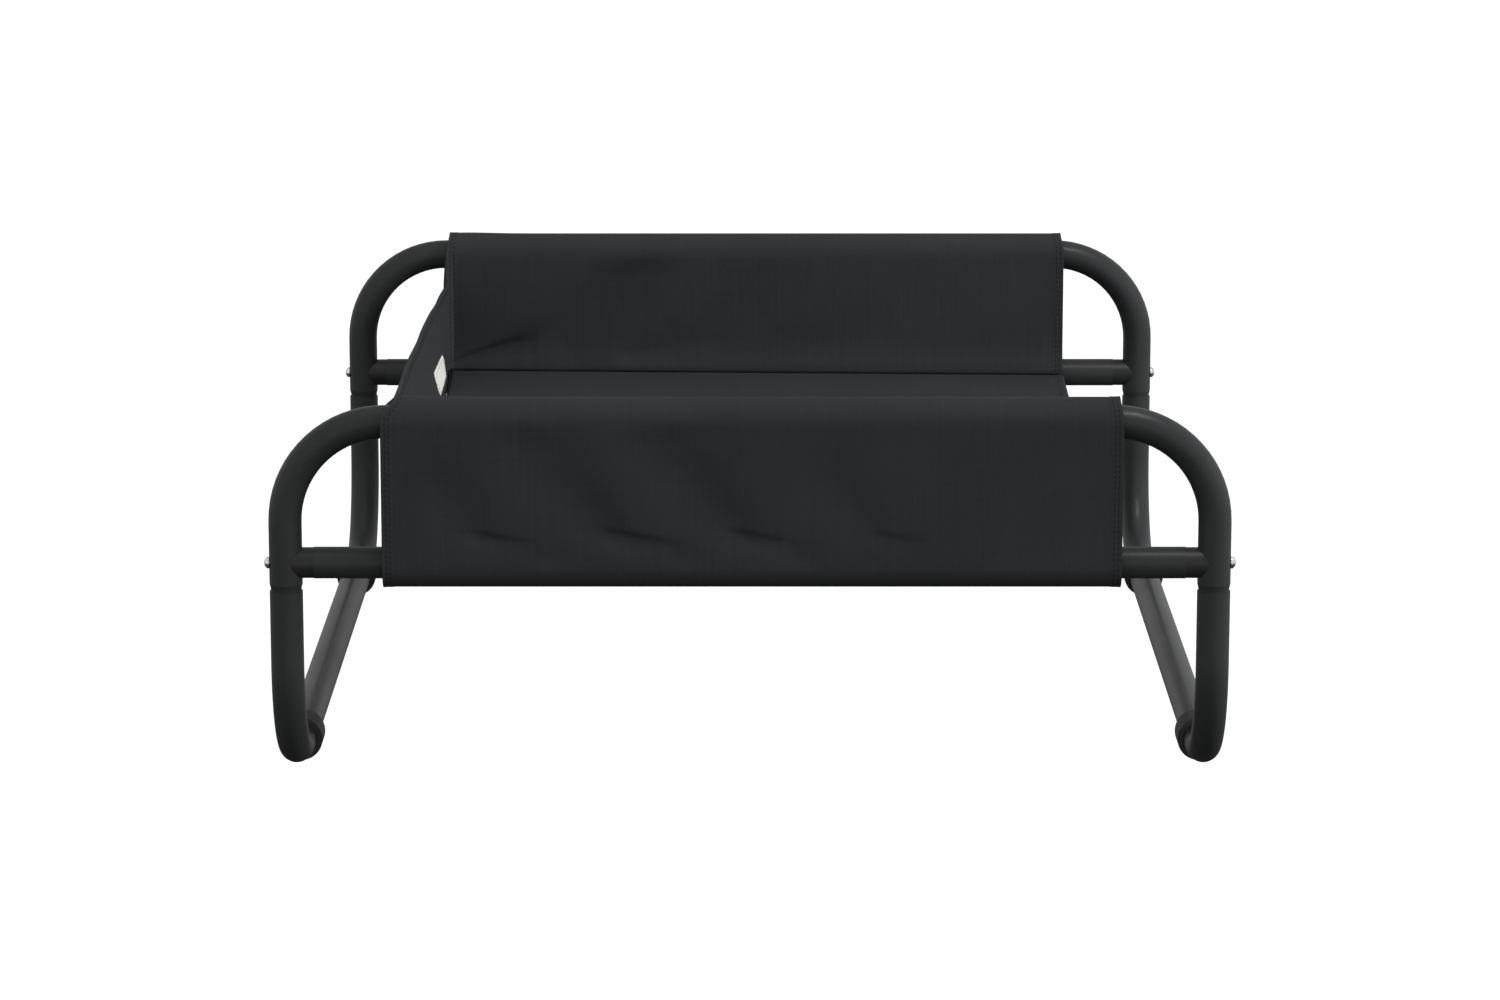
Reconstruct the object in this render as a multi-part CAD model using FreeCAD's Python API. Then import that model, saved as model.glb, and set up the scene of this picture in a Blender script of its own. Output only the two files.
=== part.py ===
"""A raised dog bed: a bent steel tube frame that carries a sewn cover with two arms, a seat and a back.

Millimetres, +Z up, the floor at Z = 0. X runs from the closed back (-X) to the open front (+X), and
Y from the right arm (-Y) to the left arm (+Y), as a dog that looks out of the front has them.
Z = 0, X = 0, Y = 0 is the middle of the footprint.
"""
import FreeCAD
import Part

import math
import os

from FreeCAD import Vector

# ---------------------------------------------------------------- driving dimensions

# Frame tubes
tube_diameter = 25.0
tube_wall = 1.0
leg_spacing = 697.4          # along X, from the axis of the back legs to the axis of the front legs
arm_spacing = 788.0          # along Y, from one arm's tube axis to the other's
rail_height = 178.0          # the seat rails' axis above the floor
arm_rise = 107.8             # the arms' top tubes above the seat rails, axis to axis
hoop_bend_radius = 76.0      # to the tube's axis
base_bend_radius = 84.0      # to the tube's axis

# The plug joint between an arm hoop's leg and a base tube
shoulder_below_rail = 16.0   # from the seat rail's axis to where the leg starts to narrow
swage_taper = 4.5            # the length of leg that narrows
rim_gap = 1.0                # bare neck between the taper and the base tube's rim
plug_clearance = 0.05        # on the radius
plug_end_gap = 6.0           # from the plug's end to the start of the base tube's bend

# Seat rails and the plastic plugs at their ends
rail_diameter = 24.0
rail_wall = 1.0
collar_length = 9.0          # the plug's visible length, from the leg's surface to the rail's end
collar_step = 0.35           # the collar is this much smaller than the rail, on the radius
spigot_length = 16.0         # the plug's length inside the rail
spigot_clearance = 0.1       # on the radius
saddle_clearance = 0.1       # between the plug's hollow face and the leg

# Rail bolts and their threaded inserts
bolt_diameter = 5.0
bolt_hole_clearance = 0.25   # on the radius, in the leg and in the plug
bolt_head_diameter = 9.0
bolt_head_height = 3.8
bolt_head_rim = 1.3          # the straight edge under the head's dome
bolt_end_gap = 1.0           # the bolt's end stops this far inside the insert
socket_across_flats = 3.0
socket_depth = 2.0
insert_diameter = 8.0
insert_length = 10.0
thread_clearance = 0.05      # on the radius

# Feet round the floor rails
foot_lift = 4.0              # the floor rails' underside above the floor
foot_outer_radius = 17.0
foot_width = 27.0
foot_past_bend = 11.0        # from the end of the base tube's bend to the foot
foot_clearance = 0.1         # on the radius

# Sewn cover
cloth_gap = 0.3              # between the cloth and what it lies on
arm_cloth_thickness = 5.9    # two layers and their wadding
bare_corner = 70.5           # along X, from a leg's axis to the arm cover's hem
seat_thickness = 5.0
seat_above_rail = 4.6        # the seat's upper face above the seat rails' axis
seat_front_overhang = 3.0    # the seat reaches this far past the arm covers' front hems
back_thickness = 4.5
back_rise = 78.6             # from the seat's upper face to the back's top edge
back_inset = 6.0             # from the arm covers' back hems to the back's middle line at its ends
back_bulge = 12.0            # how far the back's top edge swings out half way along
seat_waist = 8.8             # how far the seam of seat and back draws in half way along

# ---------------------------------------------------------------- places that follow from them

tube_radius = tube_diameter / 2
bore_radius = tube_radius - tube_wall
rail_radius = rail_diameter / 2
leg_x = leg_spacing / 2
arm_y = arm_spacing / 2

floor_rail_z = foot_lift + tube_radius
top_tube_z = rail_height + arm_rise
shoulder_z = rail_height - shoulder_below_rail
neck_z = shoulder_z - swage_taper
rim_z = neck_z - rim_gap
plug_end_z = floor_rail_z + base_bend_radius + plug_end_gap
plug_radius = bore_radius - plug_clearance

rail_end_x = leg_x - tube_radius - collar_length
plug_inner_x = rail_end_x - spigot_length
hem_x = leg_x - bare_corner
seat_top_z = rail_height + seat_above_rail

sides = {"right": -1, "left": 1}
ends = {"back": -1, "front": 1}


# ---------------------------------------------------------------- shapes that repeat

def rounded_path(points, bend_radius):
    """A wire through the points, with a tangent arc of the bend radius at each corner."""
    edges = []
    start = points[0]
    for before, corner, after in zip(points, points[1:], points[2:]):
        to_before = (before - corner).normalize()
        to_after = (after - corner).normalize()
        half_angle = to_before.getAngle(to_after) / 2
        run = bend_radius / math.tan(half_angle)
        bisector = (to_before + to_after).normalize()
        arc_start = corner + to_before * run
        arc_end = corner + to_after * run
        middle = corner + bisector * (bend_radius / math.sin(half_angle) - bend_radius)
        edges.append(Part.LineSegment(start, arc_start).toShape())
        edges.append(Part.Arc(arc_start, middle, arc_end).toShape())
        start = arc_end
    edges.append(Part.LineSegment(start, points[-1]).toShape())
    return Part.Wire(edges)


def rod_along(path, radius):
    """A round solid that follows a path."""
    first = path.Edges[0]
    direction = first.tangentAt(first.FirstParameter)
    start = first.valueAt(first.FirstParameter)
    profile = Part.Wire([Part.makeCircle(radius, start, direction)])
    return path.makePipeShell([profile], True, False)


def tube_along(path, outer_radius, inner_radius):
    """A hollow tube that follows a path, open at both ends."""
    return rod_along(path, outer_radius).cut(rod_along(path, inner_radius))


def rod_between(start, end, radius):
    """A straight round solid from one point to another."""
    return Part.makeCylinder(radius, (end - start).Length, start, end - start)


def cone_between(start, end, start_radius, end_radius):
    """A straight tapering round solid from one point to another."""
    return Part.makeCone(start_radius, end_radius, (end - start).Length, start, end - start)


def save(name, shape):
    """Write one node."""
    if not shape.isValid():
        raise ValueError(name + " is not a valid shape")
    shape.exportStep("parts/" + name + ".step")
    print(name, len(shape.Solids), "solid(s)", round(shape.Volume / 1000, 2), "cm3")


# ---------------------------------------------------------------- the frame

def swaged_end(x, y):
    """The narrowed lower end of a hoop's leg, which plugs into a base tube."""
    shoulder = Vector(x, y, shoulder_z)
    neck = Vector(x, y, neck_z)
    tip = Vector(x, y, plug_end_z)
    outside = cone_between(shoulder, neck, tube_radius, plug_radius)
    outside = outside.fuse(rod_between(neck, tip, plug_radius))
    inside = cone_between(shoulder, neck, bore_radius, plug_radius - tube_wall)
    inside = inside.fuse(rod_between(neck, tip, plug_radius - tube_wall))
    return outside.cut(inside)


def arm_hoop(side):
    """An arm's upside-down U: top tube, two bends and two legs with plug ends and bolt holes."""
    y = side * arm_y
    corners = [
        Vector(-leg_x, y, shoulder_z),
        Vector(-leg_x, y, top_tube_z),
        Vector(leg_x, y, top_tube_z),
        Vector(leg_x, y, shoulder_z),
    ]
    hoop = tube_along(rounded_path(corners, hoop_bend_radius), tube_radius, bore_radius)
    for end in ends.values():
        hoop = hoop.fuse(swaged_end(end * leg_x, y))
        hole_start = Vector(end * (leg_x - tube_diameter), y, rail_height)
        hole_end = Vector(end * (leg_x + tube_diameter), y, rail_height)
        hoop = hoop.cut(rod_between(hole_start, hole_end, bolt_diameter / 2 + bolt_hole_clearance))
    return hoop.removeSplitter()


def base_tube(end):
    """A U along the floor: an open-topped upright at each arm and the floor rail between them."""
    x = end * leg_x
    corners = [
        Vector(x, -arm_y, rim_z),
        Vector(x, -arm_y, floor_rail_z),
        Vector(x, arm_y, floor_rail_z),
        Vector(x, arm_y, rim_z),
    ]
    return tube_along(rounded_path(corners, base_bend_radius), tube_radius, bore_radius)


def seat_rail(side):
    """The straight tube under an arm that holds the arm apart and the seat up."""
    y = side * arm_y
    start = Vector(-rail_end_x, y, rail_height)
    end = Vector(rail_end_x, y, rail_height)
    return rod_between(start, end, rail_radius).cut(rod_between(start, end, rail_radius - rail_wall))


def rail_plug(side, end):
    """The plug in a rail's end: a collar with a hollow face that hugs the leg, and a spigot."""
    y = side * arm_y
    leg_axis = Vector(end * leg_x, y, rail_height)
    seam = Vector(end * rail_end_x, y, rail_height)
    tip = Vector(end * plug_inner_x, y, rail_height)
    insert_mouth = Vector(end * (plug_inner_x + insert_length), y, rail_height)
    plug = rod_between(leg_axis, seam, rail_radius - collar_step)
    plug = plug.fuse(rod_between(seam, tip, rail_radius - rail_wall - spigot_clearance))
    leg_bottom = Vector(end * leg_x, y, rail_height - tube_diameter)
    leg_top = Vector(end * leg_x, y, rail_height + tube_diameter)
    plug = plug.cut(rod_between(leg_bottom, leg_top, tube_radius + saddle_clearance))
    plug = plug.cut(rod_between(leg_axis, tip, bolt_diameter / 2 + bolt_hole_clearance))
    return plug.cut(rod_between(insert_mouth, tip, insert_diameter / 2))


def rail_insert(side, end):
    """The threaded sleeve in the plug's inner end that the bolt screws into."""
    y = side * arm_y
    mouth = Vector(end * (plug_inner_x + insert_length), y, rail_height)
    tip = Vector(end * plug_inner_x, y, rail_height)
    sleeve = rod_between(mouth, tip, insert_diameter / 2)
    return sleeve.cut(rod_between(mouth, tip, bolt_diameter / 2 + thread_clearance))


def rail_bolt(side, end):
    """The bolt through the leg into the insert, with a domed head on the leg's outer face."""
    seat_x = leg_x + tube_radius
    tip_x = plug_inner_x + bolt_end_gap
    dome_height = bolt_head_height - bolt_head_rim
    half_head = bolt_head_diameter / 2
    dome_radius = (half_head ** 2 + dome_height ** 2) / (2 * dome_height)
    bolt = Part.makeCylinder(bolt_diameter / 2, seat_x - tip_x, Vector(tip_x, 0, 0), Vector(1, 0, 0))
    head = Part.makeCylinder(half_head, bolt_head_height, Vector(seat_x, 0, 0), Vector(1, 0, 0))
    dome_centre = Vector(seat_x + bolt_head_height - dome_radius, 0, 0)
    bolt = bolt.fuse(head.common(Part.makeSphere(dome_radius, dome_centre)))
    corner_radius = socket_across_flats / math.sqrt(3)
    hexagon = []
    for corner in range(7):
        turn = corner * math.pi / 3
        point = Vector(0, corner_radius * math.cos(turn), corner_radius * math.sin(turn))
        hexagon.append(point + Vector(seat_x + bolt_head_height, 0, 0))
    socket = Part.Face(Part.makePolygon(hexagon)).extrude(Vector(-socket_depth, 0, 0))
    bolt = bolt.cut(socket)
    if end < 0:
        bolt = bolt.mirror(Vector(0, 0, 0), Vector(1, 0, 0))
    bolt.translate(Vector(0, side * arm_y, rail_height))
    return bolt


def foot(side, end):
    """A ring round the floor rail, cut flat where it stands on the floor."""
    inner_y = arm_y - base_bend_radius - foot_past_bend - foot_width
    start = Vector(end * leg_x, side * inner_y, floor_rail_z)
    stop = Vector(end * leg_x, side * (inner_y + foot_width), floor_rail_z)
    ring = rod_between(start, stop, foot_outer_radius)
    ring = ring.cut(rod_between(start, stop, tube_radius + foot_clearance))
    corner = Vector(end * leg_x - foot_outer_radius, min(start.y, stop.y), 0)
    return ring.common(Part.makeBox(2 * foot_outer_radius, foot_width, 3 * foot_outer_radius, corner))


# ---------------------------------------------------------------- the sewn cover

def belt_prism(y, top_radius, rail_loop_radius):
    """A solid as long as an arm cover, whose end is two circles and the straight lines that touch both."""
    lean = (top_radius - rail_loop_radius) / arm_rise
    across = math.sqrt(1 - lean ** 2)
    top = Vector(-hem_x, y, top_tube_z)
    low = Vector(-hem_x, y, rail_height)
    outward = Vector(0, across, lean)
    inward = Vector(0, -across, lean)
    crown = top + Vector(0, 0, top_radius)
    keel = low - Vector(0, 0, rail_loop_radius)
    profile = Part.Wire([
        Part.Arc(top + inward * top_radius, crown, top + outward * top_radius).toShape(),
        Part.LineSegment(top + outward * top_radius, low + outward * rail_loop_radius).toShape(),
        Part.Arc(low + outward * rail_loop_radius, keel, low + inward * rail_loop_radius).toShape(),
        Part.LineSegment(low + inward * rail_loop_radius, top + inward * top_radius).toShape(),
    ])
    return Part.Face(profile).extrude(Vector(2 * hem_x, 0, 0))


def arm_cover(side):
    """A flat sleeve over the arm's top tube and under its seat rail, open at both ends."""
    y = side * arm_y
    inner_top = tube_radius + cloth_gap
    inner_low = rail_radius + cloth_gap
    outside = belt_prism(y, inner_top + arm_cloth_thickness, inner_low + arm_cloth_thickness)
    return outside.cut(belt_prism(y, inner_top, inner_low))


def cover_face_y(z):
    """How far from the middle of the bed an arm cover's inner face is, at a height between the tubes."""
    top_radius = tube_radius + cloth_gap + arm_cloth_thickness
    low_radius = rail_radius + cloth_gap + arm_cloth_thickness
    share = min(1.0, max(0.0, (z - rail_height) / arm_rise))
    return arm_y - (low_radius + share * (top_radius - low_radius)) - cloth_gap


def seat_sheet():
    """The lying surface: a padded sheet from arm to arm at the height of the rails."""
    back_x = -hem_x + back_inset + back_thickness / 2 + cloth_gap
    front_x = hem_x + seat_front_overhang
    half_width = cover_face_y(seat_top_z)
    z = seat_top_z - seat_thickness
    back_right = Vector(back_x, -half_width, z)
    back_middle = Vector(back_x + seat_waist, 0, z)
    back_left = Vector(back_x, half_width, z)
    front_left = Vector(front_x, half_width, z)
    front_right = Vector(front_x, -half_width, z)
    outline = Part.Wire([
        Part.Arc(back_right, back_middle, back_left).toShape(),
        Part.LineSegment(back_left, front_left).toShape(),
        Part.LineSegment(front_left, front_right).toShape(),
        Part.LineSegment(front_right, back_right).toShape(),
    ])
    return Part.Face(outline).extrude(Vector(0, 0, seat_thickness))


def back_outline(z, middle_x, bulge):
    """The back's outline at one height, a thin strip from arm to arm that bulges out half way."""
    half_width = cover_face_y(z)
    inner_x = middle_x + back_thickness / 2
    outer_x = middle_x - back_thickness / 2
    inner = [Vector(inner_x, -half_width, z), Vector(inner_x - bulge, 0, z), Vector(inner_x, half_width, z)]
    outer = [Vector(outer_x, half_width, z), Vector(outer_x - bulge, 0, z), Vector(outer_x, -half_width, z)]
    return Part.Wire([
        Part.Arc(*inner).toShape(),
        Part.LineSegment(inner[2], outer[0]).toShape(),
        Part.Arc(*outer).toShape(),
        Part.LineSegment(outer[2], inner[0]).toShape(),
    ])


def back_panel():
    """The low back between the arms: it is sewn to the seat's drawn-in edge and its top swings out."""
    ends_x = -hem_x + back_inset
    low = back_outline(seat_top_z - seat_thickness, ends_x, -seat_waist)
    high = back_outline(seat_top_z + back_rise, ends_x, back_bulge)
    return Part.makeLoft([low, high], True, True)


# ---------------------------------------------------------------- build every node

os.makedirs("parts", exist_ok=True)

for side_name, side in sides.items():
    save(side_name + "_arm_hoop", arm_hoop(side))
    save(side_name + "_seat_rail", seat_rail(side))
    save(side_name + "_arm_cover", arm_cover(side))
    for end_name, end in ends.items():
        place = side_name + "_" + end_name
        save(place + "_rail_plug", rail_plug(side, end))
        save(place + "_rail_insert", rail_insert(side, end))
        save(place + "_rail_bolt", rail_bolt(side, end))
        save(place + "_foot", foot(side, end))

for end_name, end in ends.items():
    save(end_name + "_base_tube", base_tube(end))

save("seat_sheet", seat_sheet())
save("back_panel", back_panel())
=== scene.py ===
# %% [markdown]
# # A raised dog bed
#
# This script dresses a bed that is already designed: a bent steel tube frame with arm covers, a seat
# and a low back sewn from dark cloth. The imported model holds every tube, bolt and foot in its place.
# What is left is what a sewing room and a paint shop would add: the cloth with its wrinkles, hems and
# stitches, the powder coat, the plating and the light. All lengths are in metres, +Z is up, +X is the
# open front and +Y is the left arm.

# %% Load the frame
import math

import bmesh
import bpy
from mathutils import Matrix, Vector
from mathutils.bvhtree import BVHTree


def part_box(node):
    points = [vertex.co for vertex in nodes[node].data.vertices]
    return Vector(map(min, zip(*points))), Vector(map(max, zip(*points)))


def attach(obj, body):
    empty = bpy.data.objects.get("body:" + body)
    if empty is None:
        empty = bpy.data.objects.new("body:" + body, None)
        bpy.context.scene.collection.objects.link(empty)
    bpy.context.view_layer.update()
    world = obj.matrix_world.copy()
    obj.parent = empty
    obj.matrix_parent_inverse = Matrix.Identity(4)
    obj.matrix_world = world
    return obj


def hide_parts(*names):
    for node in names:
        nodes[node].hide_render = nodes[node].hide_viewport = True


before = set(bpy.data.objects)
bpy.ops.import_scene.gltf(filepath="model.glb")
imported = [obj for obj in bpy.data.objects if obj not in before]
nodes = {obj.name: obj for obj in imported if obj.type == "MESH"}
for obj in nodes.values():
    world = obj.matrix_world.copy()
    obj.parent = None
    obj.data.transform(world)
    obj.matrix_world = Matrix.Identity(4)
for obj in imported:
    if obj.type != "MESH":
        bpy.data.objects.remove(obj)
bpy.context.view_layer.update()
scene = bpy.context.scene
mm = 0.001

# %% [markdown]
# ## Where things are
#
# A cover has to sit on the tubes it is pulled over, so its places are read from the tubes and not
# typed in. A node's box gives its lowest and highest corner: half the width of an arm hoop's box is
# the tube's radius, and the middle of the box is the tube's axis.

# %% Read the places from the frame
hoop_low, hoop_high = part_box("left_arm_hoop")
rail_low, rail_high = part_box("left_seat_rail")
cover_low, cover_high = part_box("left_arm_cover")
seat_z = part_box("seat_sheet")[1].z
back_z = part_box("back_panel")[1].z

tube_radius = (hoop_high.y - hoop_low.y) / 2
arm_y = (hoop_high.y + hoop_low.y) / 2
top_z = hoop_high.z - tube_radius
rail_z = (rail_high.z + rail_low.z) / 2
hem_x = cover_high.x
top_loop = cover_high.z - top_z
low_loop = rail_z - cover_low.z
print("arm axis", round(arm_y, 4), "top tube", round(top_z, 4), "rail", round(rail_z, 4))
print("cover radius at the tube", round(top_loop, 5), "at the rail", round(low_loop, 5))

# %% [markdown]
# ## The camera
#
# The bed is seen square on to one arm, from slightly above and from a few metres off, so that the far
# arm looks only a sixth smaller than the near one. A long lens does that: close by with a short lens,
# the near arm would hide the rest.

# %% Place the camera
camera_data = bpy.data.cameras.new("camera")
camera = bpy.data.objects.new("camera", camera_data)
scene.collection.objects.link(camera)
camera_data.lens = 122.24
camera_data.sensor_width = 36.0
camera.location = (0.0, -4.1281, 1.0122)
camera.rotation_euler = (math.radians(90 - 11.89), 0.0, 0.0)
camera_data.clip_end = 50.0
scene.camera = camera
print("lens", camera_data.lens, "mm, height", camera.location.z, "m")

# %% [markdown]
# ## Floor, sky and lights
#
# Dark cloth and dark paint show their shape only through soft light from above. The floor is close to
# white and it glows a little. Its underside is made clear, and its light is kept off the bed, because
# the undersides of the tubes have to stay dark. The camera looks through it, so that a base tube still
# shows when it is drawn down off its legs.

# %% Build the floor
def material_with_nodes(name):
    material = bpy.data.materials.new(name)
    material.use_nodes = True
    material.node_tree.nodes.clear()
    return material, material.node_tree.nodes, material.node_tree.links


floor_half = 25.0
floor_bm = bmesh.new()
bmesh.ops.create_grid(floor_bm, x_segments=1, y_segments=1, size=floor_half)
floor_mesh = bpy.data.meshes.new("floor")
floor_bm.to_mesh(floor_mesh)
floor_bm.free()
floor = bpy.data.objects.new("floor", floor_mesh)
scene.collection.objects.link(floor)
floor.visible_diffuse = False
floor.visible_glossy = False
floor.visible_camera = False

floor_paint, make, join = material_with_nodes("floor_paint")
matt = make.new("ShaderNodeBsdfDiffuse")
matt.inputs["Color"].default_value = (0.82, 0.82, 0.82, 1)
glow = make.new("ShaderNodeEmission")
glow.inputs["Color"].default_value = (1.0, 1.0, 1.0, 1)
glow.inputs["Strength"].default_value = 0.9
lit = make.new("ShaderNodeAddShader")
join.new(matt.outputs[0], lit.inputs[0])
join.new(glow.outputs[0], lit.inputs[1])
clear = make.new("ShaderNodeBsdfTransparent")
which_side = make.new("ShaderNodeNewGeometry")
pick_side = make.new("ShaderNodeMixShader")
join.new(which_side.outputs["Backfacing"], pick_side.inputs["Fac"])
join.new(lit.outputs[0], pick_side.inputs[1])
join.new(clear.outputs[0], pick_side.inputs[2])
floor_out = make.new("ShaderNodeOutputMaterial")
join.new(pick_side.outputs[0], floor_out.inputs["Surface"])
floor_mesh.materials.append(floor_paint)
print("floor side", 2 * floor_half, "m")

# %% [markdown]
# The sky lights the bed and is not seen itself: it is dark below the horizon, brightest at it and
# dimmer overhead, which draws a soft gradient along every tube. One light could do that only from one
# side. The camera sees plain white in its place.

# %% Build the sky
scene.view_settings.view_transform = "Standard"
world = bpy.data.worlds.new("studio")
world.use_nodes = True
scene.world = world
make, join = world.node_tree.nodes, world.node_tree.links
make.clear()
direction = make.new("ShaderNodeTexCoord")
split = make.new("ShaderNodeSeparateXYZ")
join.new(direction.outputs["Generated"], split.inputs[0])
height = make.new("ShaderNodeMapRange")
height.inputs["From Min"].default_value = -1.0
join.new(split.outputs["Z"], height.inputs["Value"])
sky_ramp = make.new("ShaderNodeValToRGB")
sky_ramp.color_ramp.elements[0].position = 0.30
sky_ramp.color_ramp.elements[0].color = (0.06, 0.06, 0.062, 1)
sky_ramp.color_ramp.elements[1].position = 1.0
sky_ramp.color_ramp.elements[1].color = (0.50, 0.50, 0.51, 1)
horizon = sky_ramp.color_ramp.elements.new(0.52)
horizon.color = (0.92, 0.92, 0.93, 1)
join.new(height.outputs["Result"], sky_ramp.inputs["Fac"])
behind = make.new("ShaderNodeMapRange")
behind.inputs["From Min"].default_value = -0.1
behind.inputs["From Max"].default_value = 0.9
behind.inputs["To Min"].default_value = 1.2
behind.inputs["To Max"].default_value = 0.75
join.new(split.outputs["Y"], behind.inputs["Value"])
soft_sky = make.new("ShaderNodeBackground")
join.new(sky_ramp.outputs["Color"], soft_sky.inputs["Color"])
join.new(behind.outputs["Result"], soft_sky.inputs["Strength"])
paper = make.new("ShaderNodeBackground")
paper.inputs["Color"].default_value = (1, 1, 1, 1)
paper.inputs["Strength"].default_value = 1.1
ray = make.new("ShaderNodeLightPath")
seen = make.new("ShaderNodeMixShader")
join.new(ray.outputs["Is Camera Ray"], seen.inputs["Fac"])
join.new(soft_sky.outputs[0], seen.inputs[1])
join.new(paper.outputs[0], seen.inputs[2])
world_out = make.new("ShaderNodeOutputWorld")
join.new(seen.outputs[0], world_out.inputs["Surface"])
print("sky from", [round(c, 2) for c in horizon.color[:3]], "at the horizon")

# %% [markdown]
# Three area lights finish the studio. A wide one overhead lifts the tops of the covers and the seat.
# One at the open front lifts the back, and it is kept out of reflections so that the legs stay dark.
# A small hard one is seen only in reflections, and puts the bright spots on the hoops' bends.

# %% Hang the lights
def softbox(name, place, aim, size, power):
    light_data = bpy.data.lights.new(name, "AREA")
    light_data.shape = "RECTANGLE"
    light_data.size, light_data.size_y = size
    light_data.energy = power
    light = bpy.data.objects.new(name, light_data)
    light.location = place
    light.rotation_euler = (Vector(aim) - Vector(place)).to_track_quat("-Z", "Y").to_euler()
    scene.collection.objects.link(light)
    return light


softbox("overhead_light", (0.2, -0.4, 3.4), (0, 0, 0.2), (3.0, 3.0), 17)
fill = softbox("front_light", (3.2, -0.7, 1.2), (0, 0, 0.2), (1.6, 1.4), 105)
fill.visible_glossy = False
glint = softbox("glint_light", (0.95, -1.05, 2.9), (0.1, -0.3, 0.25), (0.30, 0.20), 42)
glint.visible_diffuse = False

# %% [markdown]
# ## Cloth, thread and webbing
#
# The cover is taken as coated polyester in a plain weave: each thread goes over one and under the
# next. Its height is worked out from the piece's own UV map, which is laid out in metres of flat
# cloth, so the weave keeps one size everywhere and follows every fold. Thicker and thinner yarns lie
# side by side and show as faint streaks down the cloth, which a stretched noise gives.

# %% Small node helpers
def plain_maths(make, join, operation, first, second=None):
    node = make.new("ShaderNodeMath")
    node.operation = operation
    for socket, value in zip(node.inputs, (first, second)):
        if value is None:
            continue
        if isinstance(value, (int, float)):
            socket.default_value = value
        else:
            join.new(value, socket)
    return node.outputs[0]


def cloudy(make, join, vector, scale, stretch=(1, 1, 1), detail=2.0):
    mapping = make.new("ShaderNodeMapping")
    mapping.inputs["Scale"].default_value = stretch
    join.new(vector, mapping.inputs["Vector"])
    noise = make.new("ShaderNodeTexNoise")
    noise.inputs["Scale"].default_value = scale
    noise.inputs["Detail"].default_value = detail
    join.new(mapping.outputs[0], noise.inputs["Vector"])
    return noise.outputs["Fac"]


def between(make, join, value, low, high, start=0.0, end=1.0):
    node = make.new("ShaderNodeMapRange")
    node.inputs["From Min"].default_value = start
    node.inputs["From Max"].default_value = end
    node.inputs["To Min"].default_value = low
    node.inputs["To Max"].default_value = high
    join.new(value, node.inputs["Value"])
    return node.outputs["Result"]


def two_colours(make, join, value, dark, light):
    mix = make.new("ShaderNodeMix")
    mix.data_type = "RGBA"
    mix.inputs["A"].default_value = (*dark, 1)
    mix.inputs["B"].default_value = (*light, 1)
    join.new(value, mix.inputs["Factor"])
    return mix.outputs["Result"]


def finish_material(make, join, shader, bump_height, bump_distance, bump_strength=1.0):
    bump = make.new("ShaderNodeBump")
    bump.inputs["Strength"].default_value = bump_strength
    bump.inputs["Distance"].default_value = bump_distance
    join.new(bump_height, bump.inputs["Height"])
    join.new(bump.outputs["Normal"], shader.inputs["Normal"])
    out = make.new("ShaderNodeOutputMaterial")
    join.new(shader.outputs[0], out.inputs["Surface"])


# %% Weave the cloth
def woven_cloth(name, thread, dark, light, sheen, roughness):
    material, make, join = material_with_nodes(name)
    where = make.new("ShaderNodeTexCoord")
    cloth_map = where.outputs["UV"]
    split = make.new("ShaderNodeSeparateXYZ")
    join.new(cloth_map, split.inputs[0])
    turns = [plain_maths(make, join, "MULTIPLY", split.outputs[axis], math.pi / thread) for axis in "XY"]
    waves = [plain_maths(make, join, "SINE", turn) for turn in turns]
    over_under = plain_maths(make, join, "MULTIPLY", waves[0], waves[1])
    warp = plain_maths(make, join, "MULTIPLY", plain_maths(make, join, "ABSOLUTE", waves[0]),
                       between(make, join, over_under, 0.55, 1.0, -1.0, 1.0))
    weft = plain_maths(make, join, "MULTIPLY", plain_maths(make, join, "ABSOLUTE", waves[1]),
                       between(make, join, over_under, 1.0, 0.55, -1.0, 1.0))
    weave = plain_maths(make, join, "MAXIMUM", warp, weft)
    upright_yarn = cloudy(make, join, cloth_map, 1.0, (330, 11, 1), 4.0)
    level_yarn = cloudy(make, join, cloth_map, 1.0, (12, 300, 1), 4.0)
    patches = cloudy(make, join, cloth_map, 9.0, (1, 1, 1), 4.0)
    yarns = plain_maths(make, join, "ADD", upright_yarn, plain_maths(make, join, "MULTIPLY", level_yarn, 0.5))
    height = plain_maths(make, join, "ADD", weave, plain_maths(make, join, "MULTIPLY", yarns, 0.9))
    tone = plain_maths(make, join, "ADD", plain_maths(make, join, "MULTIPLY", weave, 0.3),
                       plain_maths(make, join, "MULTIPLY", yarns, 0.54))
    tone = plain_maths(make, join, "ADD", tone, plain_maths(make, join, "MULTIPLY", patches, 0.7))
    shader = make.new("ShaderNodeBsdfPrincipled")
    join.new(two_colours(make, join, between(make, join, tone, 0.0, 1.0, 0.50, 1.48), dark, light),
             shader.inputs["Base Color"])
    join.new(between(make, join, upright_yarn, roughness - 0.08, roughness + 0.08),
             shader.inputs["Roughness"])
    shader.inputs["Specular IOR Level"].default_value = 0.06
    shader.inputs["Sheen Weight"].default_value = sheen
    shader.inputs["Sheen Roughness"].default_value = 0.45
    finish_material(make, join, shader, height, 0.00012)
    return material


cover_cloth = woven_cloth("cover_cloth", 0.00062, (0.0232, 0.0243, 0.0255), (0.0362, 0.0376, 0.0395),
                          0.008, 0.82)
patch_webbing = woven_cloth("patch_webbing", 0.0011, (0.50, 0.49, 0.45), (0.82, 0.81, 0.77), 0.02, 0.75)
print("cloth materials", cover_cloth.name, patch_webbing.name)

# %% [markdown]
# The hems are sewn with a thicker twisted thread of the same dark colour. Its twist is a slanted wave
# on Object coordinates, which is enough at the size of one stitch.

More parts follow.
